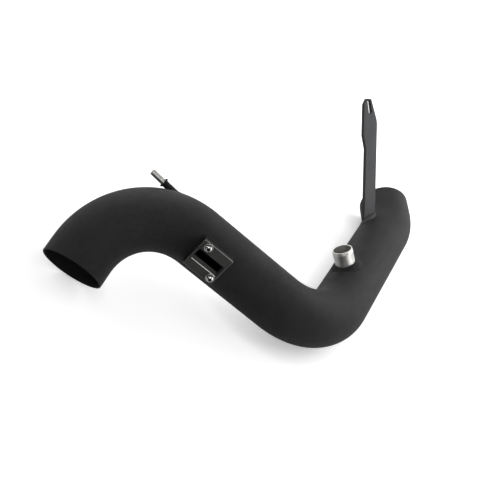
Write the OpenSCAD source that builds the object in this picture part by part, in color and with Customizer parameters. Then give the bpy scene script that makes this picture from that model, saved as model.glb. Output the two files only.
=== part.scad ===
// Cold air intake pipe: one mandrel-bent tube with welded fittings, shown lying at rest.
// The run starts at the inlet mouth. Each bend turns towards the run's own +X.

/* [Tube] */
// Outside diameter of the pipe
tube_d = 76.2; // [66:0.1:90]
// Wall of the pipe
tube_wall = 2; // [1.5:0.1:3]
// Centre line radius of the bends
bend_r = 101.6; // [92:0.1:130]
// How much a bend draws in, on its radius
bend_draw = 0.15; // [0.1:0.01:0.3]
// How far a straight run reaches into a bend before it draws in
bend_lap = 0.8; // [0.5:0.1:1.5]

/* [Bend table] */
// Plain end at the inlet, where a hose is clamped
inlet_run = 20; // [16:1:60]
// First bend
bend_1 = 91; // [75:1:110]
// Straight run that carries the sensor flange
sensor_run = 132; // [100:1:200]
// Turn of the second bend's plane about that run
turn_2 = 152; // [130:1:175]
// Second bend
bend_2 = 75; // [60:1:90]
// Straight run that carries the breather port
breather_run = 208; // [190:1:260]
// Turn of the third bend's plane about that run
turn_3 = -18; // [-40:1:10]
// Third bend
bend_3 = 27; // [10:1:35]
// Plain end at the outlet
outlet_run = 30; // [20:1:60]

/* [Sensor flange] */
// Middle of the flange, from the start of its run
flange_at = 17.5; // [10:0.5:60]
// Side of the pipe that the flange sits on
flange_side = 157; // [120:1:190]
// Length of the flange along the pipe
flange_l = 43.5; // [42:0.5:56]
// Width of the flange across the pipe
flange_w = 39.5; // [38:0.5:46]
// Height of its face above the crown of the pipe
flange_rise = 6; // [4:0.5:12]
// Radius of the flange's upright corners
flange_corner = 1.2; // [0.5:0.1:3]
// Break along the edges of the face
flange_break = 0.6; // [0.2:0.1:1]
// Length of the sensor's slot
slot_l = 37; // [20:0.5:37]
// Width of the sensor's slot
slot_w = 13; // [8:0.5:14]
// Radius of the slot's corners
slot_corner = 1.5; // [0.5:0.1:3]
// Sideways place of both screws, from the middle of the slot
screw_across = 14; // [13.5:0.1:14.5]
// Place of the first screw along the flange
screw_1_along = -12; // [-14:0.5:0]
// Place of the second screw along the flange
screw_2_along = 15; // [0:0.5:15]

/* [Screws and washers] */
// Thread of the screws
thread_d = 5; // [4:0.1:5]
// Radial clearance of the thread in its hole
thread_gap = 0.05; // [0.02:0.01:0.1]
// Depth of the tapped holes
hole_depth = 7; // [5:0.5:8]
// Thread in the hole
thread_grip = 6.2; // [4:0.1:6.5]
// Diameter of the button head
head_d = 8.6; // [7:0.1:9.5]
// Height of the button head
head_h = 2.7; // [2:0.1:3.2]
// Height of the head's upright rim, below its dome
head_rim = 0.5; // [0.3:0.1:0.8]
// Size of the hexagon socket across its flats
socket_af = 3; // [2.5:0.1:3.5]
// Depth of the socket
socket_depth = 1.6; // [1:0.1:2]
// Diameter of the washer
washer_d = 10.8; // [9.5:0.1:12]
// Thickness of the washer
washer_t = 0.9; // [0.5:0.1:1.5]

/* [Breather port] */
// Middle of the port, from the start of its run
breather_at = 47; // [40:1:150]
// Side of the pipe that the port stands on
breather_side = 48; // [30:1:80]
// Outside diameter of the bare stub
stub_d = 28; // [19:0.1:30]
// Wall of the stub
stub_wall = 1.6; // [1.2:0.1:2.5]
// Height of the stub's mouth above the crown of the pipe
stub_rise = 23; // [18:0.5:40]
// How far the hose bead stands out
bead_h = 0.7; // [0.3:0.1:1]
// Middle of the hose bead, below the mouth
bead_drop = 5; // [4:0.5:8]
// Width of the weld collar where it meets the stub
collar_w = 1.4; // [1:0.1:3]
// Width of the weld collar where it meets the pipe
collar_foot_w = 8.5; // [4:0.1:10]
// Height of the weld collar above the crown
collar_h = 2.2; // [1.5:0.1:4]

/* [Vacuum nipple] */
// Place of the nipple in the first bend, in degrees
nipple_at = 67; // [50:1:75]
// Lean of the nipple back from the surface normal
nipple_lean = 62; // [45:1:64]
// Outside diameter of the bare nipple
nipple_d = 7.5; // [7.1:0.1:9]
// Bore of the nipple
nipple_bore = 5; // [3:0.1:5.2]
// Length of the nipple from the surface of the bend
nipple_l = 34.8; // [30:0.1:50]
// Outside diameter of the boss that holds it
boss_d = 8.8; // [8.6:0.1:12]
// Diameter of the boss's shoulder
shoulder_d = 11.4; // [11:0.1:14]
// Thickness of the shoulder
shoulder_t = 1.7; // [1:0.1:3]
// Face of the shoulder, from the surface of the bend
shoulder_at = 17.6; // [16:0.1:22]
// Diameter of the nipple's spigot, seated in the boss
spigot_d = 6.4; // [5.8:0.1:7]
// Depth of the spigot's seat in the boss
seat_depth = 5; // [3:0.5:8]

/* [Support bracket] */
// Point where the strip's centre line would cross the run, from its start
bracket_at = 178; // [170:1:185]
// Side of the pipe that the strip leans to
bracket_side = 51; // [40:1:60]
// How far the strip stands beside the pipe's centre line
bracket_offset = 15.5; // [10:0.5:18]
// Lean of the strip towards the outlet
bracket_lean = 28; // [20:1:32]
// Turn of the strip about its own length
bracket_twist = 35; // [20:1:45]
// Thickness of the strip
strip_t = 6.6; // [3:0.1:8]
// Width of the strip
strip_w = 20; // [14:0.5:22]
// Length of the strip from the pipe's centre line
strip_l = 220; // [150:1:260]
// Length of the wide head
head_l = 56; // [40:1:80]
// How far the head steps out on one side
head_step = 5; // [0:0.1:8]
// Length of the step's slope
step_l = 20; // [5:1:25]
// Width of the head's square tip
tip_w = 13; // [10:0.1:15]
// Length of the long taper beside the bolt slot
taper_l = 33; // [20:1:40]
// Width of the bolt slot
bolt_slot_w = 5.2; // [4:0.1:7]
// Length of the bolt slot
bolt_slot_l = 21; // [12:0.5:22]
// Lean of the bolt slot
bolt_slot_lean = 11; // [0:1:14]
// Metal left between the bolt slot and the tip
tip_margin = 1.6; // [1:0.1:4]

/* [Fits] */
// Gap between a welded piece and the pipe
weld_gap = 0.05; // [0.02:0.01:0.2]
// Radial clearance of a bare tube in its hole
press_gap = 0.05; // [0.02:0.01:0.2]

/* [Hidden] */
$fn = 96;

black_coat = [0.16, 0.16, 0.165];
bare_metal = [0.78, 0.78, 0.76];
steel = [0.7, 0.7, 0.68];

tube_r = tube_d / 2;
bore_r = tube_r - tube_wall;
cut_over = 1;
runs = [inlet_run, sensor_run, breather_run, outlet_run];
bends = [bend_1, bend_2, bend_3];
turns = [0, turn_2, turn_3, 0];
flange_top = tube_r + flange_rise;
thread_r = thread_d / 2;
screw_places = [[-screw_across, screw_1_along], [screw_across, screw_2_along]];

// Rigid placements as matrices
function shift(v) = [[1, 0, 0, v.x], [0, 1, 0, v.y], [0, 0, 1, v.z], [0, 0, 0, 1]];
function turn_y(a) = [[cos(a), 0, sin(a), 0], [0, 1, 0, 0], [-sin(a), 0, cos(a), 0], [0, 0, 0, 1]];
function turn_z(a) = [[cos(a), -sin(a), 0, 0], [sin(a), cos(a), 0, 0], [0, 0, 1, 0], [0, 0, 0, 1]];
function place(m, v) = let (p = m * [v.x, v.y, v.z, 1]) [p.x, p.y, p.z];
function heading(m, v) = place(m, v) - place(m, [0, 0, 0]);
function unit(v) = v / norm(v);

// Along the pipe: the start of each straight run, the start of each bend, and a point in a bend
function in_bend(a) = shift([bend_r * (1 - cos(a)), 0, bend_r * sin(a)]) * turn_y(a);
function run_start(i) =
    i == 0 ? shift([0, 0, 0]) : bend_start(i - 1) * in_bend(bends[i - 1]) * turn_z(turns[i]);
function bend_start(i) = run_start(i) * shift([0, 0, runs[i]]);

// The pipe lies on three spots: the inlet rim, the second bend and the outlet rim.
// The floor through them is found by turns, from a first guess of which way is up.
first_up = [-0.2, -0.8, 0.5];
floor_steps = 24;
function rim_low(m, up) =
    let (axis = heading(m, [0, 0, 1]))
    place(m, [0, 0, 0]) - tube_r * unit(up - (up * axis) * axis);
function bend_low(up) =
    let (m = bend_start(1),
         x = up * heading(m, [1, 0, 0]),
         z = up * heading(m, [0, 0, 1]),
         a = min(bend_2, max(0, atan2(-z, x))))
    rim_low(m * in_bend(a), up);
function inlet_low(up) = rim_low(run_start(0), up);
function outlet_low(up) = rim_low(bend_start(3), up);
function floor_up(up, steps) =
    steps == 0 ? up :
    let (p = inlet_low(up),
         n = unit(cross(bend_low(up) - p, outlet_low(up) - p)))
    floor_up(n * up < 0 ? -n : n, steps - 1);

up = floor_up(unit(first_up), floor_steps);
ahead = outlet_low(up) - inlet_low(up);
row_x = unit(ahead - (ahead * up) * up);
row_y = cross(up, row_x);
lie_down = [[row_x.x, row_x.y, row_x.z, 0], [row_y.x, row_y.y, row_y.z, 0],
    [up.x, up.y, up.z, 0], [0, 0, 0, 1]];

// One straight run as a solid rod of radius r, longer at each end by over
module run_rod(i, r, over) {
    multmatrix(run_start(i))
        translate([0, 0, -over[0]])
            cylinder(r = r, h = runs[i] + over[0] + over[1]);
}

// One bend as a solid rod of radius r
module bend_rod(i, r) {
    multmatrix(bend_start(i))
        translate([bend_r, 0, 0])
            rotate([90, 0, 0])
                rotate([0, 0, 180 - bends[i]])
                    rotate_extrude(angle = bends[i])
                        translate([bend_r, 0])
                            circle(r = r - bend_draw);
}

// The whole pipe as a solid rod of radius r, longer at both mouths by over
module pipe_rod(r, over) {
    for (i = [0 : 3])
        run_rod(i, r, [i == 0 ? over : bend_lap, i == 3 ? over : bend_lap]);
    for (i = [0 : 2])
        bend_rod(i, r);
}

// Frames of the fittings: +X stands out of the pipe, +Z runs along it
flange_frame = run_start(1) * shift([0, 0, flange_at]) * turn_z(flange_side);
breather_frame = run_start(2) * shift([0, 0, breather_at]) * turn_z(breather_side);
nipple_frame = bend_start(0) * in_bend(nipple_at) * shift([-tube_r, 0, 0])
    * turn_z(180) * turn_y(nipple_lean);
bracket_frame = run_start(2) * shift([0, 0, bracket_at]) * turn_z(bracket_side)
    * shift([0, -bracket_offset, 0]) * turn_y(-bracket_lean);

// A cylinder that stands out along +X, from low to high
module out(r, low, high) {
    translate([low, 0, 0])
        rotate([0, 90, 0])
            cylinder(r = r, h = high - low);
}

// A block with round corners that stands out along +X
module out_block(w, l, corner, low, high) {
    translate([low, 0, 0])
        rotate([90, 0, 90])
            linear_extrude(height = high - low)
                round_plate(w, l, corner);
}

module round_plate(w, l, corner) {
    square([w - 2 * corner, l], center = true);
    square([w, l - 2 * corner], center = true);
    for (x = [-1, 1], y = [-1, 1])
        translate([x * (w / 2 - corner), y * (l / 2 - corner)])
            circle(r = corner);
}

module intake_tube() {
    color(black_coat)
        multmatrix(lie_down)
            difference() {
                pipe_rod(tube_r, 0);
                pipe_rod(bore_r, cut_over);
                multmatrix(flange_frame)
                    out_block(slot_w, slot_l, slot_corner, 0, flange_top);
                multmatrix(breather_frame)
                    out(stub_d / 2 + press_gap, 0, tube_r + cut_over);
                multmatrix(nipple_frame)
                    out(nipple_bore / 2, -4 * tube_wall, shoulder_at);
            }
}

module sensor_flange() {
    color(black_coat)
        multmatrix(lie_down)
            difference() {
                multmatrix(flange_frame)
                    flange_block();
                run_rod(1, tube_r + weld_gap, [flange_l, 0]);
            }
}

module flange_block() {
    difference() {
        out_block(flange_w, flange_l, flange_corner, bore_r / 2, flange_top);
        out_block(slot_w, slot_l, slot_corner, 0, flange_top + cut_over);
        for (p = screw_places)
            translate([0, p[0], p[1]])
                out(thread_r + thread_gap, flange_top - hole_depth, flange_top + cut_over);
        edge_breaks(flange_w, flange_l, 1);
        edge_breaks(slot_w, slot_l, -1);
    }
}

// Square bars on edge that break the four edges of a rectangle in the flange's face
module edge_breaks(w, l, side) {
    bar = flange_break * sqrt(2);
    long = flange_l + flange_w;
    for (s = [-1, 1]) {
        w_bar = side > 0 ? long : w - 2 * slot_corner;
        l_bar = side > 0 ? long : l - 2 * slot_corner;
        translate([flange_top, s * w / 2, 0])
            rotate([0, 0, 45])
                cube([bar, bar, l_bar], center = true);
        translate([flange_top, 0, s * l / 2])
            rotate([0, 45, 0])
                cube([bar, w_bar, bar], center = true);
    }
}

module sensor_washer(i) {
    p = screw_places[i];
    color(steel)
        multmatrix(lie_down * flange_frame * shift([flange_top, p[0], p[1]]))
            difference() {
                out(washer_d / 2, 0, washer_t);
                out(thread_r + 2 * thread_gap, -cut_over, washer_t + cut_over);
            }
}

module sensor_screw(i) {
    p = screw_places[i];
    color(steel)
        multmatrix(lie_down * flange_frame * shift([flange_top + washer_t, p[0], p[1]]))
            button_screw();
}

// Button head socket screw, its head's seat at the origin and its thread along -X
module button_screw() {
    rise = head_h - head_rim;
    dome_r = (pow(head_d / 2, 2) + rise * rise) / (2 * rise);
    difference() {
        union() {
            out(thread_r, -washer_t - thread_grip, head_rim);
            intersection() {
                translate([head_h - dome_r, 0, 0])
                    rotate([0, 90, 0])
                        sphere(r = dome_r);
                out(head_d / 2, 0, dome_r);
            }
        }
        translate([head_h - socket_depth, 0, 0])
            rotate([0, 90, 0])
                cylinder(d = socket_af / cos(30), h = head_h, $fn = 6);
    }
}

module breather_collar() {
    top_r = stub_d / 2 + collar_w;
    foot_r = stub_d / 2 + collar_foot_w;
    low = tube_r - foot_r * foot_r / tube_r;
    color(black_coat)
        multmatrix(lie_down)
            difference() {
                multmatrix(breather_frame)
                    difference() {
                        union() {
                            out(top_r, low, tube_r + collar_h);
                            translate([low, 0, 0])
                                rotate([0, 90, 0])
                                    cylinder(r1 = foot_r, r2 = top_r, h = tube_r + collar_h / 2 - low);
                        }
                        out(stub_d / 2 + press_gap, 0, tube_r + stub_rise);
                    }
                run_rod(2, tube_r + weld_gap, [0, 0]);
            }
}

module breather_port() {
    r = stub_d / 2;
    mouth = tube_r + stub_rise;
    foot = bore_r - stub_wall;
    color(bare_metal)
        multmatrix(lie_down * breather_frame)
            difference() {
                union() {
                    out(r, foot, mouth);
                    translate([mouth - bead_drop, 0, 0])
                        rotate([0, 90, 0])
                            bead(r);
                }
                out(r - stub_wall, foot - cut_over, mouth + cut_over);
            }
}

// Rolled hose bead: the crown of a ring that stands bead_h proud of a tube
module bead(r) {
    ring_r = 3 * bead_h;
    rotate_extrude()
        translate([r + bead_h - ring_r, 0])
            circle(r = ring_r);
}

module vacuum_boss() {
    color(black_coat)
        multmatrix(lie_down)
            difference() {
                multmatrix(nipple_frame)
                    difference() {
                        union() {
                            out(boss_d / 2, -boss_d, shoulder_at - shoulder_t / 2);
                            out(shoulder_d / 2, shoulder_at - shoulder_t, shoulder_at);
                        }
                        out(nipple_bore / 2, -2 * boss_d, shoulder_at + cut_over);
                        out(spigot_d / 2 + press_gap, shoulder_at - seat_depth, shoulder_at + cut_over);
                    }
                bend_rod(0, tube_r + weld_gap);
            }
}

module vacuum_nipple() {
    color(bare_metal)
        multmatrix(lie_down * nipple_frame)
            difference() {
                union() {
                    out(nipple_d / 2, shoulder_at, nipple_l);
                    out(spigot_d / 2, shoulder_at - seat_depth, shoulder_at + cut_over);
                }
                out(nipple_bore / 2, shoulder_at - seat_depth - cut_over, nipple_l + cut_over);
            }
}

// The strip lies flat with +X along its length; its head steps out on the -Y side
module strip_outline() {
    half = strip_w / 2;
    edge = -half - head_step;
    polygon([
        [0, half],
        [strip_l - taper_l, half],
        [strip_l, edge + tip_w],
        [strip_l, edge + tip_w / 3],
        [strip_l - tip_w * 2 / 3, edge],
        [strip_l - head_l, edge],
        [strip_l - head_l - step_l, -half],
        [0, -half]
    ]);
}

// The bolt slot leans back from its round end near the tip
module bolt_slot() {
    r = bolt_slot_w / 2;
    translate([strip_l - tip_margin - r, tip_w * 2 / 3 - strip_w / 2 - head_step])
        rotate(180 - bolt_slot_lean) {
            circle(r = r);
            translate([bolt_slot_l - 2 * r, 0])
                circle(r = r);
            translate([0, -r])
                square([bolt_slot_l - 2 * r, 2 * r]);
        }
}

module support_bracket() {
    color(black_coat)
        multmatrix(lie_down)
            difference() {
                multmatrix(bracket_frame)
                    rotate([90 - bracket_twist, 0, 0])
                        translate([0, 0, -strip_t / 2])
                            linear_extrude(height = strip_t)
                                difference() {
                                    strip_outline();
                                    bolt_slot();
                                }
                run_rod(2, tube_r + weld_gap, [0, strip_w]);
            }
}

intake_tube();
sensor_flange();
sensor_screw(0);  // sensor_screw_1
sensor_screw(1);  // sensor_screw_2
sensor_washer(0);  // sensor_washer_1
sensor_washer(1);  // sensor_washer_2
breather_collar();
breather_port();
vacuum_boss();
vacuum_nipple();
support_bracket();
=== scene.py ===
import math

import bmesh
import bpy
from mathutils import Euler, Matrix, Vector, noise


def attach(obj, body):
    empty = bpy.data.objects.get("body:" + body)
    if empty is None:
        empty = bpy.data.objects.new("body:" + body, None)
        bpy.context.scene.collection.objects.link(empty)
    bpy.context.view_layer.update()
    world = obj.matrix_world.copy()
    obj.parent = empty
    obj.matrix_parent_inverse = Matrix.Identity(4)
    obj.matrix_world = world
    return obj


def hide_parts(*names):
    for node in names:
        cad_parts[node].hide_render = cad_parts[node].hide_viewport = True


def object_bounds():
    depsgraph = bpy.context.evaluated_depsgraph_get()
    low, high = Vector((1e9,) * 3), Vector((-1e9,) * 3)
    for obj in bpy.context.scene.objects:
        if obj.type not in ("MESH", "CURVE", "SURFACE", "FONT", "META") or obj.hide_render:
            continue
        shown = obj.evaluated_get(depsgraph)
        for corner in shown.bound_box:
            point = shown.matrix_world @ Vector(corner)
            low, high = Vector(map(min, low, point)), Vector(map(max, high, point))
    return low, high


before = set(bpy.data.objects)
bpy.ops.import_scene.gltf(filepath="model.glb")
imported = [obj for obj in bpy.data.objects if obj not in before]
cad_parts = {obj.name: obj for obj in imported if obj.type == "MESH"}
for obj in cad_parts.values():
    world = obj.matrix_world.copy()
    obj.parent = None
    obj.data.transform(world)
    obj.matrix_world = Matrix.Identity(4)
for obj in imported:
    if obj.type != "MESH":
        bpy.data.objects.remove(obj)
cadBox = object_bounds()
mm = 0.001
print("frame loaded")


# sizes, in millimetres unless a name says degrees

pipe = {
    "radius": 38.1,
    "wall": 2.0,
    "bendRadius": 101.6,
    "runs": (20, 132, 208, 30),
    "bends": (91, 75, 27),
    "turns": (0, 152, -18, 0),
    "around": 160,
    "rim": 0.75,
}
flange = {"at": 17.5, "side": 157, "long": 43.5, "wide": 39.5, "top": 44.1, "corner": 1.2,
          "slotLong": 37.6, "slotWide": 14.8, "slotShift": 0.9, "slotCorner": 1.6,
          "edge": 0.32, "slotEdge": 0.55, "ledge": 2.5}
screws = {"places": ((-14, -12), (14, 15)), "head": 8.0, "height": 4.6, "rim": 2.6, "socket": 4.0,
          "socketDepth": 2.4, "domeEnd": 2.75, "shank": 2.5, "shankLong": 6.0,
          "washer": 10.8, "washerBore": 2.6, "washerThick": 0.9}
breather = {"at": 47, "side": 48, "radius": 14.0, "wall": 1.6, "mouth": 61.1, "foot": 34.5,
            "lip": 0.3, "taper": 0.5, "beadDrop": 5.2, "beadHigh": 0.3, "beadWide": 4.8,
            "collarTop": 40.3, "collarWide": 1.5, "collarFoot": 22.6}
nipple = {"at": 67, "lean": 62, "radius": 3.75, "bore": 2.5, "length": 34.8,
          "bossRadius": 4.4, "shoulder": 6.0, "shoulderThick": 1.9, "shoulderAt": 16.4}
strip = {"at": 178, "side": 51, "offset": 15.5, "lean": 28, "twist": 35, "thick": 6.6, "wide": 20.0,
         "length": 220.0, "head": 56.0, "step": 5.0, "slope": 20.0, "tip": 13.0, "taper": 33.0,
         "slotWide": 5.2, "slotLong": 21.0, "slotLean": 11.0, "margin": 1.6, "edge": 0.6,
         "weld": 2.7, "weldReach": 4.6}
# clearance round a pressed or welded piece, and how far a thin skin stands off the piece under it
slip = 0.05
hair = 0.03
# how the pipe lies on the floor: on its inlet rim, its second bend and its outlet rim
lieDown = Euler([math.radians(v) for v in (-58.2957, 10.3380, -47.5042)]).to_matrix().to_4x4()


# places along the pipe

def turned(axis, degrees):
    return Matrix.Rotation(math.radians(degrees), 4, axis)


def moved(x, y, z):
    return Matrix.Translation((x, y, z))


def inBend(degrees):
    a = math.radians(degrees)
    r = pipe["bendRadius"]
    return moved(r * (1 - math.cos(a)), 0, r * math.sin(a)) @ turned("Y", degrees)


def runStart(i):
    if i == 0:
        return lieDown.copy()
    return bendStart(i - 1) @ inBend(pipe["bends"][i - 1]) @ turned("Z", pipe["turns"][i])


def bendStart(i):
    return runStart(i) @ moved(0, 0, pipe["runs"][i])


flangeFrame = runStart(1) @ moved(0, 0, flange["at"]) @ turned("Z", flange["side"])
breatherFrame = runStart(2) @ moved(0, 0, breather["at"]) @ turned("Z", breather["side"])
nippleFrame = (bendStart(0) @ inBend(nipple["at"]) @ moved(-pipe["radius"], 0, 0)
               @ turned("Z", 180) @ turned("Y", nipple["lean"]))
stripFrame = (runStart(2) @ moved(0, 0, strip["at"]) @ turned("Z", strip["side"])
              @ moved(0, -strip["offset"], 0) @ turned("Y", -strip["lean"])
              @ turned("X", 90 - strip["twist"]))


def inMetres(place):
    scaled = place.copy()
    scaled.translation = place.translation * mm
    return scaled


# making meshes

def addPiece(name, points, faces, place, sharp=35.0):
    mesh = bpy.data.meshes.new(name)
    mesh.from_pydata([Vector(p) * mm for p in points], [], faces)
    mesh.validate()
    piece = bpy.data.objects.new(name, mesh)
    bpy.context.scene.collection.objects.link(piece)
    piece.matrix_world = inMetres(place)
    tidyShading(piece, sharp)
    return piece


def tidyShading(piece, sharp=35.0):
    shape = bmesh.new()
    shape.from_mesh(piece.data)
    bmesh.ops.remove_doubles(shape, verts=shape.verts, dist=1e-6)
    bmesh.ops.recalc_face_normals(shape, faces=shape.faces)
    limit = math.radians(sharp)
    for edge in shape.edges:
        edge.smooth = len(edge.link_faces) == 2 and edge.calc_face_angle(0) < limit
    for face in shape.faces:
        face.smooth = True
    shape.to_mesh(piece.data)
    shape.free()
    piece.data.update()


def stackRings(rings, closed=False, looped=True):
    # joins loops of the same count into one skin
    count = len(rings[0])
    points = [p for ring in rings for p in ring]
    faces = []
    last = len(rings) if closed else len(rings) - 1
    for i in range(last):
        a, b = i * count, ((i + 1) % len(rings)) * count
        for k in range(count if looped else count - 1):
            n = (k + 1) % count
            faces.append((a + k, a + n, b + n, b + k))
    return points, faces


def circle(x, radius, count):
    around = [math.tau * k / count for k in range(count)]
    return [(x, radius * math.cos(a), radius * math.sin(a)) for a in around]


def lathe(profile, count=96):
    # profile of (x, radius) turned about the local X axis
    return [circle(x, r, count) for x, r in profile]


def roundOver(cx, cr, radius, start, end, steps=5):
    # points of a small arc in an (x, radius) profile
    out = []
    for i in range(steps + 1):
        a = math.radians(start + (end - start) * i / steps)
        out.append((cx + radius * math.cos(a), cr + radius * math.sin(a)))
    return out


def roundedLoop(wide, long, corner, cornerSteps=6, sideSteps=10):
    # (y, z) points of a rectangle with round corners, the same count whatever its size
    out = []
    hw, hl = wide / 2 - corner, long / 2 - corner
    for index, (sy, sz) in enumerate(((1, 1), (-1, 1), (-1, -1), (1, -1))):
        for i in range(cornerSteps + 1):
            a = math.radians(90 * index + 90 * i / cornerSteps)
            out.append((sy * hw + corner * math.cos(a), sz * hl + corner * math.sin(a)))
        ny, nz = ((-1, 1), (-1, -1), (1, -1), (1, 1))[index]
        endA = math.radians(90 * (index + 1))
        start = Vector((sy * hw + corner * math.cos(endA), sz * hl + corner * math.sin(endA)))
        end = Vector((ny * hw + corner * math.cos(endA), nz * hl + corner * math.sin(endA)))
        for i in range(1, sideSteps):
            p = start.lerp(end, i / sideSteps)
            out.append((p.x, p.y))
    return out


def cutAway(piece, cutter):
    modifier = piece.modifiers.new("cut", "BOOLEAN")
    modifier.object = cutter
    modifier.operation = "DIFFERENCE"
    modifier.solver = "EXACT"
    bakeModifiers(piece)
    bpy.data.objects.remove(cutter)


def bakeModifiers(piece):
    bpy.context.view_layer.update()
    baked = bpy.data.meshes.new_from_object(piece.evaluated_get(bpy.context.evaluated_depsgraph_get()))
    old = piece.data
    piece.modifiers.clear()
    piece.data = baked
    bpy.data.meshes.remove(old)


def distanceToRun(i, point):
    # distance from the centre line of a straight run
    local = runStart(i).inverted() @ point
    return math.hypot(local.x, local.y)


def distanceToBend(i, point):
    local = bendStart(i).inverted() @ point
    ring = math.hypot(local.x - pipe["bendRadius"], local.z) - pipe["bendRadius"]
    return math.hypot(ring, local.y)


def footOn(distance, place, y, z, high, low):
    # where a line along the local X axis, through (y, z), meets the pipe, found by halving
    for _ in range(40):
        middle = (high + low) / 2
        if distance(place @ Vector((middle, y, z))) > pipe["radius"]:
            high = middle
        else:
            low = middle
    return (high + low) / 2


def weldBead(name, loop, normals, radii, pitch, seed=0.0):
    # a bead laid along a closed loop, with the ripples that a torch leaves trailing behind it
    facets, flatness, trail = 12, 0.72, 0.25
    count = len(loop)
    lengths = [0.0]
    for i in range(count):
        lengths.append(lengths[-1] + (loop[(i + 1) % count] - loop[i]).length)
    ripples = max(6, round(lengths[-1] / pitch))
    rings = []
    for i in range(count):
        ahead = (loop[(i + 1) % count] - loop[i - 1]).normalized()
        up = (normals[i] - ahead * normals[i].dot(ahead)).normalized()
        side = ahead.cross(up)
        phase = (lengths[i] / lengths[-1] * ripples) % 1.0
        wander = noise.noise(loop[i] * 0.35 + Vector((seed, 0, 0)))
        r = radii[i] * (1 + 0.10 * math.sqrt(phase) - 0.06 + 0.10 * wander)
        ring = []
        for k in range(facets):
            a = math.tau * k / facets
            rise = r * math.sin(a)
            point = loop[i] + side * (r * math.cos(a)) + up * (flatness * rise)
            ring.append(point + ahead * (trail * rise))
        rings.append(ring)
    points, faces = stackRings(rings, closed=True)
    return addPiece(name, points, faces, Matrix.Identity(4), 60)


def slotLoop(grow=0.0):
    wide, long = flange["slotWide"] + 2 * grow, flange["slotLong"] + 2 * grow
    loop = roundedLoop(wide, long, flange["slotCorner"] + grow)
    return [(y + flange["slotShift"], z) for y, z in loop]


def ledgeLoop(grow=0.0):
    # the tube's own slot, which stops short of the flange's lower side by a ledge
    narrow = slotLoop(grow)
    widest = max(y for y, z in narrow)
    return [(min(y, widest - flange["ledge"]), z) for y, z in narrow]


def flangeLoop(shrink=0.0):
    wide, long = flange["wide"] - 2 * shrink, flange["long"] - 2 * shrink
    return roundedLoop(wide, long, flange["corner"] - shrink * 0.6)


def betweenLoops(first, second, share):
    return [(a[0] + (b[0] - a[0]) * share, a[1] + (b[1] - a[1]) * share) for a, b in zip(first, second)]


def roundAt(radius, y):
    # how high a round of this radius stands over its middle at the distance y to one side
    return math.sqrt(radius ** 2 - y ** 2)


# the bent tube

def stations():
    # frames along the centre line, with the turns undone so that the rings stay in line
    out = []
    undone = 0.0
    for i, run in enumerate(pipe["runs"]):
        undone += pipe["turns"][i]
        steps = max(3, round(run / 5))
        start = runStart(i) @ turned("Z", -undone)
        first = 0 if i == 0 else 1
        out += [start @ moved(0, 0, run * k / steps) for k in range(first, steps + 1)]
        if i < 3:
            steps = max(6, round(pipe["bends"][i] / 1.5))
            for k in range(1, steps + 1):
                out.append(bendStart(i) @ inBend(pipe["bends"][i] * k / steps) @ turned("Z", -undone))
    return out


def tubeRing(place, radius, ahead=0.0):
    around = [math.tau * k / pipe["around"] for k in range(pipe["around"])]
    return [place @ Vector((radius * math.cos(a), radius * math.sin(a), ahead)) for a in around]


def buildTube():
    outer, bore, rim = pipe["radius"], pipe["radius"] - pipe["wall"], pipe["rim"]
    path = stations()
    first, last = path[0], path[-1]
    rings = [tubeRing(first, r, z) for z, r in roundOver(rim, bore + rim, rim, 270, 180)]
    rings += [tubeRing(first, r, z) for z, r in roundOver(rim, outer - rim, rim, 180, 90)]
    rings += [tubeRing(place, outer) for place in path[1:-1]]
    rings += [tubeRing(last, r, z) for z, r in roundOver(-rim, outer - rim, rim, 90, 0)]
    rings += [tubeRing(last, r, z) for z, r in roundOver(-rim, bore + rim, rim, 0, -90)]
    rings += [tubeRing(place, bore) for place in reversed(path[1:-1])]
    points, faces = stackRings(rings, closed=True)
    tube = addPiece("bentTube", points, faces, Matrix.Identity(4))
    # the slot under the flange, the breather's hole and the nipple's hole
    inWall, overWall = 30, 42
    slot = [[(x, y, z) for y, z in ledgeLoop(0.25)] for x in (inWall, overWall)]
    cutAway(tube, capped("slotCutter", slot, flangeFrame))
    hole = breather["radius"] - 0.4
    cutAway(tube, capped("breatherCutter", lathe([(inWall, hole), (overWall, hole)], 64), breatherFrame))
    drill = nipple["bore"]
    cutAway(tube, capped("nippleCutter", lathe([(-12, drill), (9, drill)], 32), nippleFrame))
    tidyShading(tube, 40)
    return tube


def capped(name, rings, place):
    points, faces = stackRings(rings)
    count = len(rings[0])
    faces.append(tuple(range(count)))
    faces.append(tuple(reversed(range(len(points) - count, len(points)))))
    return addPiece(name, points, faces, place)


tube = buildTube()
print("tube bent,", len(tube.data.vertices), "points")


# the sensor flange, its screws and washers

def buildFlange():
    top, edge, slotEdge = flange["top"], flange["edge"], flange["slotEdge"]
    outer, bore = pipe["radius"], pipe["radius"] - pipe["wall"]
    rings = [[(roundAt(bore, y) - 0.15, y, z) for y, z in slotLoop()]]
    for depth in (4.0, 0.0):
        rings.append([(top - slotEdge - depth, y, z) for y, z in slotLoop()])
    inside, outside = slotLoop(slotEdge), flangeLoop(edge)
    for i in range(6):
        rings.append([(top, y, z) for y, z in betweenLoops(inside, outside, i / 5)])
    rim = top - edge
    for t in (0.0, 0.3, 0.6, 0.8, 0.95, 1.0):
        rings.append([(rim + t * (roundAt(outer, y) - 0.4 - rim), y, z) for y, z in flangeLoop()])
    points, faces = stackRings(rings, closed=True)
    return addPiece("flangeBlock", points, faces, flangeFrame, 30)


def buildBrightEdge(name, top, low, inner, outer, looped=True):
    # the cutter's bare chamfer, a hair above the coated block
    rings = [[(top, y, z) for y, z in inner], [(low, y, z) for y, z in outer]]
    points, faces = stackRings(rings, looped=looped)
    return addPiece(name, points, faces, flangeFrame, 30)


def lowerSide(loop):
    # the points of a slot loop along its lower side, from end to end
    reach = max(y for y, z in loop) - 0.4
    return sorted((p for p in loop if p[0] > reach), key=lambda p: p[1])


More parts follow.
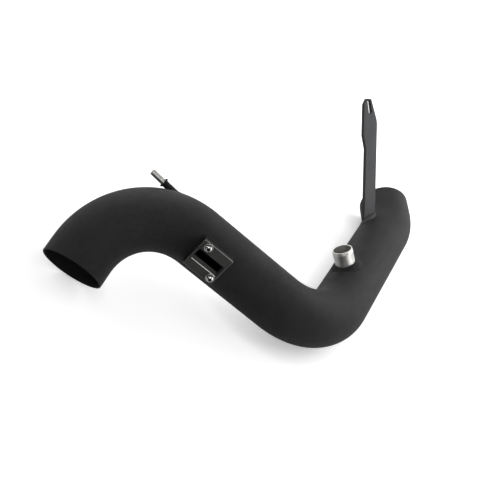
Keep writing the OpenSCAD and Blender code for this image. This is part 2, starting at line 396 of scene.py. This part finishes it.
def buildSlotLining():
    # the coat inside the slot: down the wall, over the ledge and into the tube, in a lighter coat that
    # paints on the light the wall and ledge catch
    outer, bore = pipe["radius"] + hair, pipe["radius"] - pipe["wall"]
    wall, ledge = slotLoop(-hair), ledgeLoop(-hair)
    rings = [[(flange["top"] - flange["slotEdge"], y, z) for y, z in wall]]
    rings.append([(roundAt(outer, y) + 0.3, y, z) for y, z in wall])
    for share in (0.1, 0.5, 0.9):
        rings.append([(roundAt(outer, y) + 0.02, y, z) for y, z in betweenLoops(wall, ledge, share)])
    rings.append([(roundAt(outer, y) - 0.3, y, z) for y, z in ledge])
    rings.append([(roundAt(bore, y) - 0.1, y, z) for y, z in ledge])
    points, faces = stackRings(rings)
    return addPiece("slotLining", points, faces, flangeFrame, 50)


def buildScrew(index):
    y, z = screws["places"][index]
    place = flangeFrame @ moved(flange["top"] + screws["washerThick"], y, z) @ turned("X", 24 + 31 * index)
    head, high, rim = screws["head"] / 2, screws["height"], screws["rim"]
    rise = high - rim
    dome = (head ** 2 + rise ** 2) / (2 * rise)
    count = 72

    def domeAt(r):
        return high - dome + math.sqrt(dome ** 2 - r ** 2)

    def hexRadius(k, across):
        a = (math.tau * k / count) % math.radians(60) - math.radians(30)
        return across / 2 / math.cos(a)

    def hexRing(across, lift):
        out = []
        for k in range(count):
            r = hexRadius(k, across)
            a = math.tau * k / count
            out.append((domeAt(r) + lift, r * math.cos(a), r * math.sin(a)))
        return out

    rings = lathe([(rim - 0.05, head), (rim + 0.06, head - 0.07)], count)
    domeStart = head - 0.15
    for i in range(1, 8):
        r = domeStart - (domeStart - screws["domeEnd"]) * i / 7
        rings.append(circle(domeAt(r), r, count))
    rings.append(hexRing(screws["socket"] + 0.45, 0.0))
    rings.append(hexRing(screws["socket"] + 0.1, -0.1))
    points, faces = stackRings(rings)
    cap = addPiece("buttonScrew%d" % (index + 1), points, faces, place, 32)
    # the socket, the head's side and the undercut below it are a darkened steel: painted shade in the
    # socket and in the gap over the washer
    floor = high - screws["socketDepth"]
    rings = [hexRing(screws["socket"] + 0.1, -0.1), hexRing(screws["socket"], -0.25)]
    rings.append([(floor, p[1], p[2]) for p in rings[-1]])
    rings += lathe([(floor - 0.05, 1.2), (floor - 0.6, 0.02)], count)
    points, faces = stackRings(rings)
    side = [(rim - 0.05, head), (0.65, head), (0.5, head - 0.05), (0.36, head - 0.3), (0.0, head - 0.45)]
    r, end = screws["shank"], -screws["shankLong"]
    shank = lathe(side + [(0, r), (end, r), (end, 0.02)], count)
    shankPoints, shankFaces = stackRings(shank)
    base = len(points)
    points += shankPoints
    faces += [tuple(v + base for v in f) for f in shankFaces]
    return cap, addPiece("socketAndShank%d" % (index + 1), points, faces, place, 32)


def buildWasher(index):
    y, z = screws["places"][index]
    place = flangeFrame @ moved(flange["top"], y, z)
    r, bore, t = screws["washer"] / 2, screws["washerBore"], screws["washerThick"]
    profile = [(0, bore), (t, bore), (t, r - 0.25)]
    profile += roundOver(t - 0.2, r - 0.2, 0.2, 0, 90, 3) + [(0.1, r), (0, r - 0.1)]
    points, faces = stackRings(lathe(profile, 80), closed=True)
    return addPiece("flatWasher%d" % (index + 1), points, faces, place, 40)


flangeBlock = buildFlange()
slotLining = buildSlotLining()
rimTop, rimSide = flange["top"] + hair, flange["top"] - flange["edge"] + hair
slotSide = flange["top"] - flange["slotEdge"] + hair
rimBright = buildBrightEdge("rimBright", rimTop, rimSide, flangeLoop(flange["edge"]), flangeLoop(-hair))
slotInner, slotOuter = lowerSide(slotLoop(flange["slotEdge"])), lowerSide(slotLoop(-hair))
# painted highlight: a lighter copy of the cutter metal along the slot's lower chamfer only, where that edge
# catches the lamps
slotHighlight = buildBrightEdge("slotHighlight", rimTop, slotSide, slotInner, slotOuter, False)
screwCaps, screwShanks = zip(*[buildScrew(i) for i in range(2)])
washerPieces = [buildWasher(i) for i in range(2)]
print("flange made")


# the breather stub and its weld collar

def buildStub():
    r, mouth, lip = breather["radius"], breather["mouth"], breather["lip"]
    bore = r - breather["wall"]
    neck = r - breather["taper"]
    profile = [(breather["foot"], bore), (mouth - 6, bore), (mouth - 2, bore), (mouth - lip - 0.3, bore)]
    profile += roundOver(mouth - lip, bore + lip, lip, 270, 360, 4)
    profile += roundOver(mouth - lip, neck - lip, lip, 0, 90, 4)
    beadMiddle, half = mouth - breather["beadDrop"], breather["beadWide"]
    for i in range(25):
        x = beadMiddle + half - 2 * half * i / 24
        lift = breather["beadHigh"] * 0.5 * (1 + math.cos(math.pi * (x - beadMiddle) / half))
        t = max(0.0, (x - beadMiddle) / half)
        profile.append((x, r + lift - breather["taper"] * t * t))
    profile += [(46, r), (40, r), (breather["foot"], r)]
    points, faces = stackRings(lathe(profile, 128), closed=True)
    return addPiece("breatherStub", points, faces, breatherFrame, 50)


def buildCollar():
    # a coated weld that climbs from the tube's surface to the stub
    count, ripples = 240, 34
    inner, top = breather["radius"] + slip, breather["collarTop"]
    upper, lower = inner + breather["collarWide"], breather["collarFoot"]
    rings = []
    for step in range(18):
        t = step / 17
        ring = []
        for k in range(count):
            a = math.tau * k / count
            phase = (ripples * k / count) % 1.0
            if t < 0.25:
                s = t / 0.25
                radius, share = inner + (upper - inner) * s, 0.0
            else:
                share = (t - 0.25) / 0.75
                radius = upper + (lower - upper) * share ** 1.25
            radius += 0.45 * math.sin(math.pi * share) * (0.55 + 0.45 * math.sqrt(phase))
            foot = math.sqrt(max(0.0, pipe["radius"] ** 2 - (radius * math.cos(a)) ** 2))
            crown = top - 0.5 * (1 - math.sin(math.pi * min(1, t / 0.25) / 2)) * (1 if t < 0.25 else 0)
            x = crown + (foot - 0.35 - crown) * share ** 1.15
            wobble = 0.14 * noise.noise(Vector((radius * math.cos(a), radius * math.sin(a), x)) * 0.5)
            ring.append((x, (radius + wobble) * math.cos(a), (radius + wobble) * math.sin(a)))
        rings.append(ring)
    points, faces = stackRings(rings)
    return addPiece("weldCollar", points, faces, breatherFrame, 70)


stub = buildStub()
collar = buildCollar()
print("breather made")


# the vacuum nipple in its boss

def buildNipple():
    r, bore, end = nipple["radius"], nipple["bore"], nipple["length"]
    profile = [(12.6, bore), (end - 0.5, bore)]
    profile += roundOver(end - 0.35, bore + 0.35, 0.35, 270, 360, 3)
    profile += roundOver(end - 0.5, r - 0.5, 0.5, 0, 90, 4)
    profile += [(end - 3, r), (20, r), (12.6, r)]
    points, faces = stackRings(lathe(profile, 64), closed=True)
    return addPiece("vacuumTube", points, faces, nippleFrame, 40)


def buildBoss():
    r, big = nipple["bossRadius"], nipple["shoulder"]
    face, thick = nipple["shoulderAt"], nipple["shoulderThick"]
    count = 72
    seat = nipple["radius"] + slip
    profile = [(face - 4.5, seat), (face - 0.3, seat), (face, seat + 0.25), (face, big - 0.5)]
    profile += roundOver(face - 0.4, big - 0.4, 0.4, 0, 90, 3)
    profile += roundOver(face - thick + 0.4, big - 0.4, 0.4, 90, 180, 3)
    profile += [(face - thick, r + 0.35), (face - thick - 0.35, r)]
    rings = lathe(profile, count)
    feet = []
    for k in range(count):
        a = math.tau * k / count
        y, z = r * math.cos(a), r * math.sin(a)
        feet.append(footOn(lambda p: distanceToBend(0, p), nippleFrame, y, z, face - thick - 1, -14))
    for t in (0.25, 0.5, 0.75, 1.0):
        ring = []
        for k in range(count):
            a = math.tau * k / count
            top = face - thick - 0.35
            x = top + (feet[k] - 0.3 - top) * t
            ring.append((x, r * math.cos(a), r * math.sin(a)))
        rings.append(ring)
    points, faces = stackRings(rings)
    boss = addPiece("nippleBoss", points, faces, nippleFrame, 40)
    loop, normals = [], []
    bend = bendStart(0)
    centre = Vector((pipe["bendRadius"], 0, 0))
    for k in range(count):
        a = math.tau * k / count
        p = nippleFrame @ Vector((feet[k], r * math.cos(a), r * math.sin(a)))
        local = bend.inverted() @ p
        flat = Vector((local.x, 0, local.z)) - centre
        nearest = centre + flat.normalized() * pipe["bendRadius"]
        out = bend.to_3x3() @ (local - nearest).normalized()
        along = (nippleFrame.to_3x3() @ Vector((0, math.cos(a), math.sin(a))))
        loop.append(p)
        normals.append((out + along * 0.6).normalized())
    bead = weldBead("bossWeld", loop, normals, [1.5] * count, 2.2, seed=3.0)
    return boss, bead


vacuumTube = buildNipple()
boss, bossWeld = buildBoss()
print("nipple made")


# the support strip

def roundCorners(corners, steps=4):
    # corners of (x, y, radius) to a smooth outline
    out = []
    count = len(corners)
    for i, (x, y, radius) in enumerate(corners):
        here = Vector((x, y))
        before = (Vector(corners[i - 1][:2]) - here).normalized()
        after = (Vector(corners[(i + 1) % count][:2]) - here).normalized()
        if radius <= 0:
            out.append(here)
            continue
        half = before.angle(after) / 2
        reach = radius / math.tan(half)
        start, end = here + before * reach, here + after * reach
        for k in range(steps + 1):
            t = k / steps
            out.append(start * (1 - t) ** 2 + here * (2 * t * (1 - t)) + end * t ** 2)
    return out


def buildStrip():
    half, edge = strip["wide"] / 2, -strip["wide"] / 2 - strip["step"]
    end, tip = strip["length"], strip["tip"]
    outline = roundCorners([
        (8, half, 0), (end - strip["taper"], half, 30), (end, edge + tip, 1.2), (end, edge + tip / 3, 1.0),
        (end - tip * 2 / 3, edge, 3), (end - strip["head"], edge, 8),
        (end - strip["head"] - strip["slope"], -half, 8), (8, -half, 0),
    ])
    r = strip["slotWide"] / 2
    tipEnd = Vector((end - strip["margin"] - r, tip * 2 / 3 - half - strip["step"]))
    lean = math.radians(180 - strip["slotLean"])
    along = Vector((math.cos(lean), math.sin(lean)))
    innerEnd = tipEnd + along * (strip["slotLong"] - 2 * r)
    slot = []
    for k in range(17):
        a = lean - math.pi / 2 + math.pi * k / 16
        slot.append(innerEnd + Vector((math.cos(a), math.sin(a))) * r)
    for k in range(17):
        a = lean + math.pi / 2 + math.pi * k / 16
        slot.append(tipEnd + Vector((math.cos(a), math.sin(a))) * r)
    curve = bpy.data.curves.new("stripCurve", "CURVE")
    curve.dimensions = "2D"
    curve.fill_mode = "BOTH"
    for loop in (outline, slot):
        spline = curve.splines.new("POLY")
        spline.points.add(len(loop) - 1)
        for point, p in zip(spline.points, loop):
            point.co = (p.x * mm, p.y * mm, 0, 1)
        spline.use_cyclic_u = True
    curve.offset = -strip["edge"] * mm
    curve.bevel_depth = strip["edge"] * mm
    curve.bevel_resolution = 3
    curve.extrude = (strip["thick"] / 2 - strip["edge"]) * mm
    holder = bpy.data.objects.new("stripHolder", curve)
    bpy.context.scene.collection.objects.link(holder)
    bpy.context.view_layer.update()
    mesh = bpy.data.meshes.new_from_object(holder.evaluated_get(bpy.context.evaluated_depsgraph_get()))
    bpy.data.objects.remove(holder)
    piece = bpy.data.objects.new("supportStrip", mesh)
    bpy.context.scene.collection.objects.link(piece)
    piece.matrix_world = inMetres(stripFrame)
    # the foot is coped to the tube
    cope = lathe([(60, pipe["radius"] - 0.3), (230, pipe["radius"] - 0.3)], 192)
    cope = [[(y, z, x) for x, y, z in ring] for ring in cope]
    cutAway(piece, capped("stripCutter", cope, runStart(2)))
    tidyShading(piece, 32)
    return piece


def buildStripWeld():
    section = roundedLoop(strip["wide"], strip["thick"], 0.8, 3, 12)
    loop, normals, radii = [], [], []
    for y, z in section:
        x = footOn(lambda p: distanceToRun(2, p), stripFrame, y, z, 90, 8)
        p = stripFrame @ Vector((x, y, z))
        local = runStart(2).inverted() @ p
        out = runStart(2).to_3x3() @ Vector((local.x, local.y, 0)).normalized()
        away = (stripFrame.to_3x3() @ Vector((0, y, z * 3))).normalized()
        # the torch ran wide over the side that it reached from above
        swell = max(0.0, 1 - ((y + 1) / 10) ** 2) * max(0.0, -2 * z / strip["thick"])
        spread = stripFrame.to_3x3() @ Vector((0, 0, -1))
        spread = (spread - out * spread.dot(out)).normalized() - runStart(2).to_3x3() @ Vector((0, 0, 0.7))
        loop.append(p + spread * strip["weldReach"] * swell)
        normals.append((out + away * 0.9 * (1 - 0.8 * swell)).normalized())
        radii.append(strip["weld"] * (1 + swell))
    return weldBead("stripWeld", loop, normals, radii, 3.0, seed=7.0)


def buildFlangeWeld():
    loop, normals, radii = [], [], []
    for y, z in roundedLoop(flange["wide"], flange["long"], flange["corner"], 4, 40):
        x = math.sqrt(pipe["radius"] ** 2 - y ** 2)
        loop.append(flangeFrame @ Vector((x, y, z)))
        out = flangeFrame.to_3x3() @ Vector((x, y, 0)).normalized()
        away = flangeFrame.to_3x3() @ Vector((0, y, z)).normalized()
        normals.append((out + away * 0.7).normalized())
        # wider across the two ends, where the block stands high over the tube: the dark bead there is
        # partly weld and partly painted shade cast by the block
        radii.append(1.5 + 2.0 * max(0.0, 1 - (2 * y / flange["wide"]) ** 2) ** 0.5)
    return weldBead("flangeWeld", loop, normals, radii, 2.4, seed=11.0)


supportStrip = buildStrip()
stripWeld = buildStripWeld()
flangeWeld = buildFlangeWeld()
print("strip and welds made")


# materials

class Field:
    # one socket, so that shader maths reads as maths
    def __init__(self, paint, socket):
        self.paint = paint
        self.socket = socket

    def maths(self, operation, first, second):
        made = self.paint.tree.nodes.new("ShaderNodeMath")
        made.operation = operation
        self.paint.plug(made.inputs[0], first)
        self.paint.plug(made.inputs[1], second)
        return Field(self.paint, made.outputs[0])

    def __add__(self, other):
        return self.maths("ADD", self, other)

    def __sub__(self, other):
        return self.maths("SUBTRACT", self, other)

    def __rsub__(self, other):
        return self.maths("SUBTRACT", other, self)

    def __mul__(self, other):
        return self.maths("MULTIPLY", self, other)


class Paint:
    def __init__(self, name):
        self.material = bpy.data.materials.new(name)
        self.material.use_nodes = True
        self.tree = self.material.node_tree
        self.shader = self.tree.nodes["Principled BSDF"]

    def plug(self, socket, value):
        if isinstance(value, Field):
            self.tree.links.new(value.socket, socket)
        else:
            socket.default_value = value

    def node(self, kind, settings=None, inputs=None, output=0):
        made = self.tree.nodes.new("ShaderNode" + kind)
        for key, value in (settings or {}).items():
            setattr(made, key, value)
        for key, value in (inputs or {}).items():
            self.plug(made.inputs[key], value)
        return Field(self, made.outputs[output])

    def place(self, scale=(1, 1, 1)):
        where = self.node("TexCoord", output=3)
        return self.node("Mapping", inputs={"Vector": where, "Scale": scale})

    def noise(self, where, scale, detail=3.0, rough=0.5, distortion=0.0):
        return self.node("TexNoise", inputs={"Vector": where, "Scale": scale, "Detail": detail,
                                             "Roughness": rough, "Distortion": distortion})

    def span(self, value, fromLow, fromHigh, toLow, toHigh):
        return self.node("MapRange", inputs={"Value": value, "From Min": fromLow, "From Max": fromHigh,
                                             "To Min": toLow, "To Max": toHigh})

    def blend(self, share, first, second):
        made = self.tree.nodes.new("ShaderNodeMix")
        made.data_type = "RGBA"
        self.plug(made.inputs[0], share)
        self.plug(made.inputs[6], first)
        self.plug(made.inputs[7], second)
        return Field(self, made.outputs[2])

    def looksAlong(self, axis):
        # nought to one, by how far a face looks along a local axis
        parts = self.tree.nodes.new("ShaderNodeSeparateXYZ")
        self.plug(parts.inputs[0], self.node("TexCoord", output=1))
        along = self.node("Math", {"operation": "ABSOLUTE"}, {0: Field(self, parts.outputs[axis])})
        return self.span(along, 0.5, 0.9, 0.0, 1.0)

    def bump(self, height, strength, distance):
        return self.node("Bump", inputs={"Height": height, "Strength": strength, "Distance": distance})

    def finish(self, **values):
        for key, value in values.items():
            self.plug(self.shader.inputs[key.replace("_", " ")], value)
        return self.material


def grey(value, warm=0.0):
    # warm is a yellow cast when above nought and a blue one when below
    return (value * (1 + 0.3 * warm), value, value * (1 - warm), 1)


def powderCoat(name, dark, light, warm, grain, strength, rough, axis=None, edges=0.2):
    # wrinkled black powder coat: short worm-like ridges with a fine grit over them
    # with an axis, the faces that look along it keep the colour given, and the other faces get a copy
    # darkened by the edges factor: painted shade on the sides that turn from the lamps
    paint = Paint(name)
    where = paint.place()
    worms = paint.noise(where, grain, 2.0, 0.55, 1.4)
    ridges = 1 - paint.node("Math", {"operation": "ABSOLUTE"}, {0: worms * 2 - 1}) * 3.2
    grit = paint.noise(where, grain * 2.7, 2.0, 0.6)
    patches = paint.noise(where, 38.0, 3.0, 0.55)
    height = ridges * 0.6 + grit * 0.5
    raised = paint.span(height, 0.2, 0.95, 0.0, 1.0)
    share = paint.span(raised * 0.75 + patches * 0.5, 0.15, 1.0, 0.0, 1.0)
    colour = paint.blend(share, grey(dark, warm), grey(light, warm))
    if axis:
        # painted shade: the darker copy of the coat for the faces that do not look along the axis
        thick = paint.blend(share, grey(dark * edges, warm), grey(light * edges, warm))
        colour = paint.blend(paint.looksAlong(axis), thick, colour)
    roughness = paint.span(patches + raised * 0.4, 0.3, 1.1, rough + 0.06, rough - 0.06)
    return paint.finish(Base_Color=colour, Roughness=roughness, Normal=paint.bump(height, strength, 0.0007),
                        Specular_IOR_Level=0.28)


def turnedMetal(name, dark, light, rough, rings, across):
    # bare metal, with streaks round the local X axis when rings is much finer than across
    paint = Paint(name)
    fine = paint.noise(paint.place((rings, across, across)), 1.0, 3.0, 0.6)
    broad = paint.noise(paint.place((rings * 0.16, across * 0.4, across * 0.4)), 1.0, 2.0, 0.5)
    smudge = paint.noise(paint.place(), 160.0, 3.0, 0.6)
    streaks = paint.span(fine * 0.6 + broad * 0.4, 0.3, 0.7, 0.0, 1.0)
    colour = paint.blend(streaks, grey(dark, 0.035), grey(light, 0.03))
    roughness = paint.span(broad * 0.6 + smudge * 0.4, 0.3, 0.7, rough - 0.05, rough + 0.08)
    return paint.finish(Base_Color=colour, Roughness=roughness, Metallic=1.0,
                        Normal=paint.bump(fine, 0.25, 0.0002))


coat = powderCoat("wrinkleCoat", 0.0010, 0.0095, 0.0, 560.0, 1.0, 0.52)
# the flange's side walls and the strip's narrow sides get painted shade through the axis and the last
# factor
flangeCoat = powderCoat("flangeCoat", 0.018, 0.042, 0.04, 1300.0, 0.5, 0.44, "X", 0.12)
stripCoat = powderCoat("stripCoat", 0.066, 0.098, -0.04, 1100.0, 0.6, 0.48, "Z", 0.12)
weldCoat = powderCoat("weldCoat", 0.050, 0.080, -0.04, 900.0, 0.8, 0.50)
# lighter than the flange's coat: painted light on the slot's wall and ledge
slotLitCoat = powderCoat("slotLitCoat", 0.040, 0.075, 0.04, 1300.0, 0.4, 0.44)
# a darker copy of the wrinkle coat on the welds, the breather collar and the nipple boss: painted shade
# round these joints
seamShadeCoat = powderCoat("seamShadeCoat", 0.0006, 0.004, 0.0, 620.0, 1.0, 0.56)
bareAluminium = turnedMetal("bareAluminium", 0.52, 0.78, 0.43, 2600.0, 60.0)
stainless = turnedMetal("stainless", 0.46, 0.70, 0.17, 2200.0, 300.0)
washerSteel = turnedMetal("washerSteel", 0.56, 0.76, 0.26, 900.0, 900.0)
recessShadeSteel = turnedMetal("recessShadeSteel", 0.012, 0.03, 0.42, 900.0, 900.0)
# a lighter copy of the cutter metal, for the painted highlight on the slot's lower edge
cutterHighlight = turnedMetal("cutterHighlight", 0.66, 0.86, 0.30, 700.0, 700.0)
cutterDull = turnedMetal("cutterDull", 0.36, 0.52, 0.34, 700.0, 700.0)
drawnTube = turnedMetal("drawnTube", 0.34, 0.50, 0.40, 900.0, 90.0)

dressed = {
    tube: (coat, "powder_coat", ("intake_tube",)),
    flangeBlock: (flangeCoat, "flange_coat", ("sensor_flange",)),
    slotLining: (slotLitCoat, "flange_coat", ()),
    rimBright: (cutterDull, "flange_coat", ()),
    slotHighlight: (cutterHighlight, "flange_coat", ()),
    flangeWeld: (seamShadeCoat, "powder_coat", ()),
    screwCaps[0]: (stainless, "fastener_steel", ("sensor_screw_1",)),
    screwCaps[1]: (stainless, "fastener_steel", ("sensor_screw_2",)),
    screwShanks[0]: (recessShadeSteel, "fastener_steel", ()),
    screwShanks[1]: (recessShadeSteel, "fastener_steel", ()),
    washerPieces[0]: (washerSteel, "fastener_steel", ("sensor_washer_1",)),
    washerPieces[1]: (washerSteel, "fastener_steel", ("sensor_washer_2",)),
    stub: (bareAluminium, "bare_aluminium", ("breather_port",)),
    collar: (seamShadeCoat, "powder_coat", ("breather_collar",)),
    boss: (seamShadeCoat, "powder_coat", ("vacuum_boss",)),
    bossWeld: (seamShadeCoat, "powder_coat", ()),
    vacuumTube: (drawnTube, "bare_aluminium", ("vacuum_nipple",)),
    supportStrip: (stripCoat, "bracket_coat", ("support_bracket",)),
    stripWeld: (weldCoat, "bracket_coat", ()),
}
for piece, (material, slotName, nodes) in dressed.items():
    piece.data.materials.clear()
    piece.data.materials.append(material)
    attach(piece, "root")
    if nodes:
        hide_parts(*nodes)
print("materials made")


# floor, light and camera

lowest = cadBox[0][2]
centre = Vector((0.30, -0.03, lowest))


def buildFloor():
    bpy.ops.mesh.primitive_grid_add(x_subdivisions=8, y_subdivisions=8, size=14,
                                    location=(centre.x, centre.y, lowest - 0.0002))
    floor = bpy.context.object
    floor.name = "floorSheet"
    paint = Paint("floorWhite")
    # the camera sees a bright sweep, with a painted contact shadow where its glow dims beside the pipe;
    # less of it is thrown back on to the pipe
    seen = paint.node("LightPath") + paint.node("LightPath", output=3) * 0.3
    mottle = paint.noise(paint.place(), 3.0, 2.0, 0.5)
    sheet = paint.blend(mottle, grey(0.94), grey(0.96))
    # painted contact shadow: the glow falls from away to beside where ambient occlusion within reach finds
    # the pipe
    beside, away, reach = 0.25, 0.69, 0.028
    clear = paint.node("AmbientOcclusion", {"samples": 12}, {"Distance": reach}, output=1)
    glowAndPaintedShadow = paint.blend(clear, grey(beside), grey(away))
    paint.finish(Base_Color=paint.blend(seen, grey(0.5), sheet), Roughness=0.9, Specular_IOR_Level=0.0,
                 Emission_Color=paint.blend(seen, grey(0.0), glowAndPaintedShadow), Emission_Strength=1.0)
    floor.data.materials.append(paint.material)


def addSoftbox(name, around, height, power, only=None):
    # around and height are the angles, in degrees, at which the box stands
    light = bpy.data.lights.new(name, "AREA")
    light.size = softbox["size"]
    light.energy = power
    lamp = bpy.data.objects.new(name, light)
    bpy.context.scene.collection.objects.link(lamp)
    a, h = math.radians(around), math.radians(height)
    toward = Vector((math.cos(a) * math.cos(h), math.sin(a) * math.cos(h), math.sin(h)))
    lamp.location = centre + toward * softbox["distance"]
    lamp.rotation_euler = toward.to_track_quat("Z", "Y").to_euler()
    if only:
        lamp.light_linking.receiver_collection = only


def buildWorld():
    world = bpy.data.worlds.new("studio")
    bpy.context.scene.world = world
    world.use_nodes = True
    tree = world.node_tree
    background = tree.nodes["Background"]
    background.inputs[0].default_value = (1, 1, 1, 1)
    # white where the camera looks past the floor, and nearly dark for the pipe
    seen = tree.nodes.new("ShaderNodeLightPath")
    share = tree.nodes.new("ShaderNodeMapRange")
    share.inputs["To Min"].default_value = 0.02
    tree.links.new(seen.outputs[0], share.inputs["Value"])
    tree.links.new(share.outputs[0], background.inputs[1])


buildFloor()
buildWorld()
softbox = {"size": 1.3, "distance": 1.7}
boxes = {"rightBox": (0, 18, 10.2), "farRightBox": (60, 18, 12.3), "farLeftBox": (120, 18, 12.6),
         "nearRightBox": (300, 18, 10.2), "cameraBox": (210, 48, 13.5), "highBox": (330, 48, 9.6),
         "backBox": (30, 48, 2.1)}
# the box beside the camera is flagged off the floor
offFloor = bpy.data.collections.new("offFloor")
for piece in dressed:
    offFloor.objects.link(piece)
for name, (around, height, power) in boxes.items():
    addSoftbox(name, around, height, power, offFloor if name == "cameraBox" else None)

camera = bpy.data.cameras.new("photoCamera")
camera.lens = 62.62
camera.sensor_width = 36.0
camera.clip_start = 0.05
cameraObject = bpy.data.objects.new("photoCamera", camera)
bpy.context.scene.collection.objects.link(cameraObject)
cameraObject.location = (-0.5134, -0.4082, 0.6889)
cameraObject.rotation_euler = [math.radians(v) for v in (44.498, -30.137, -35.357)]
bpy.context.scene.camera = cameraObject
bpy.context.scene.view_settings.view_transform = "Standard"
print("stage set")
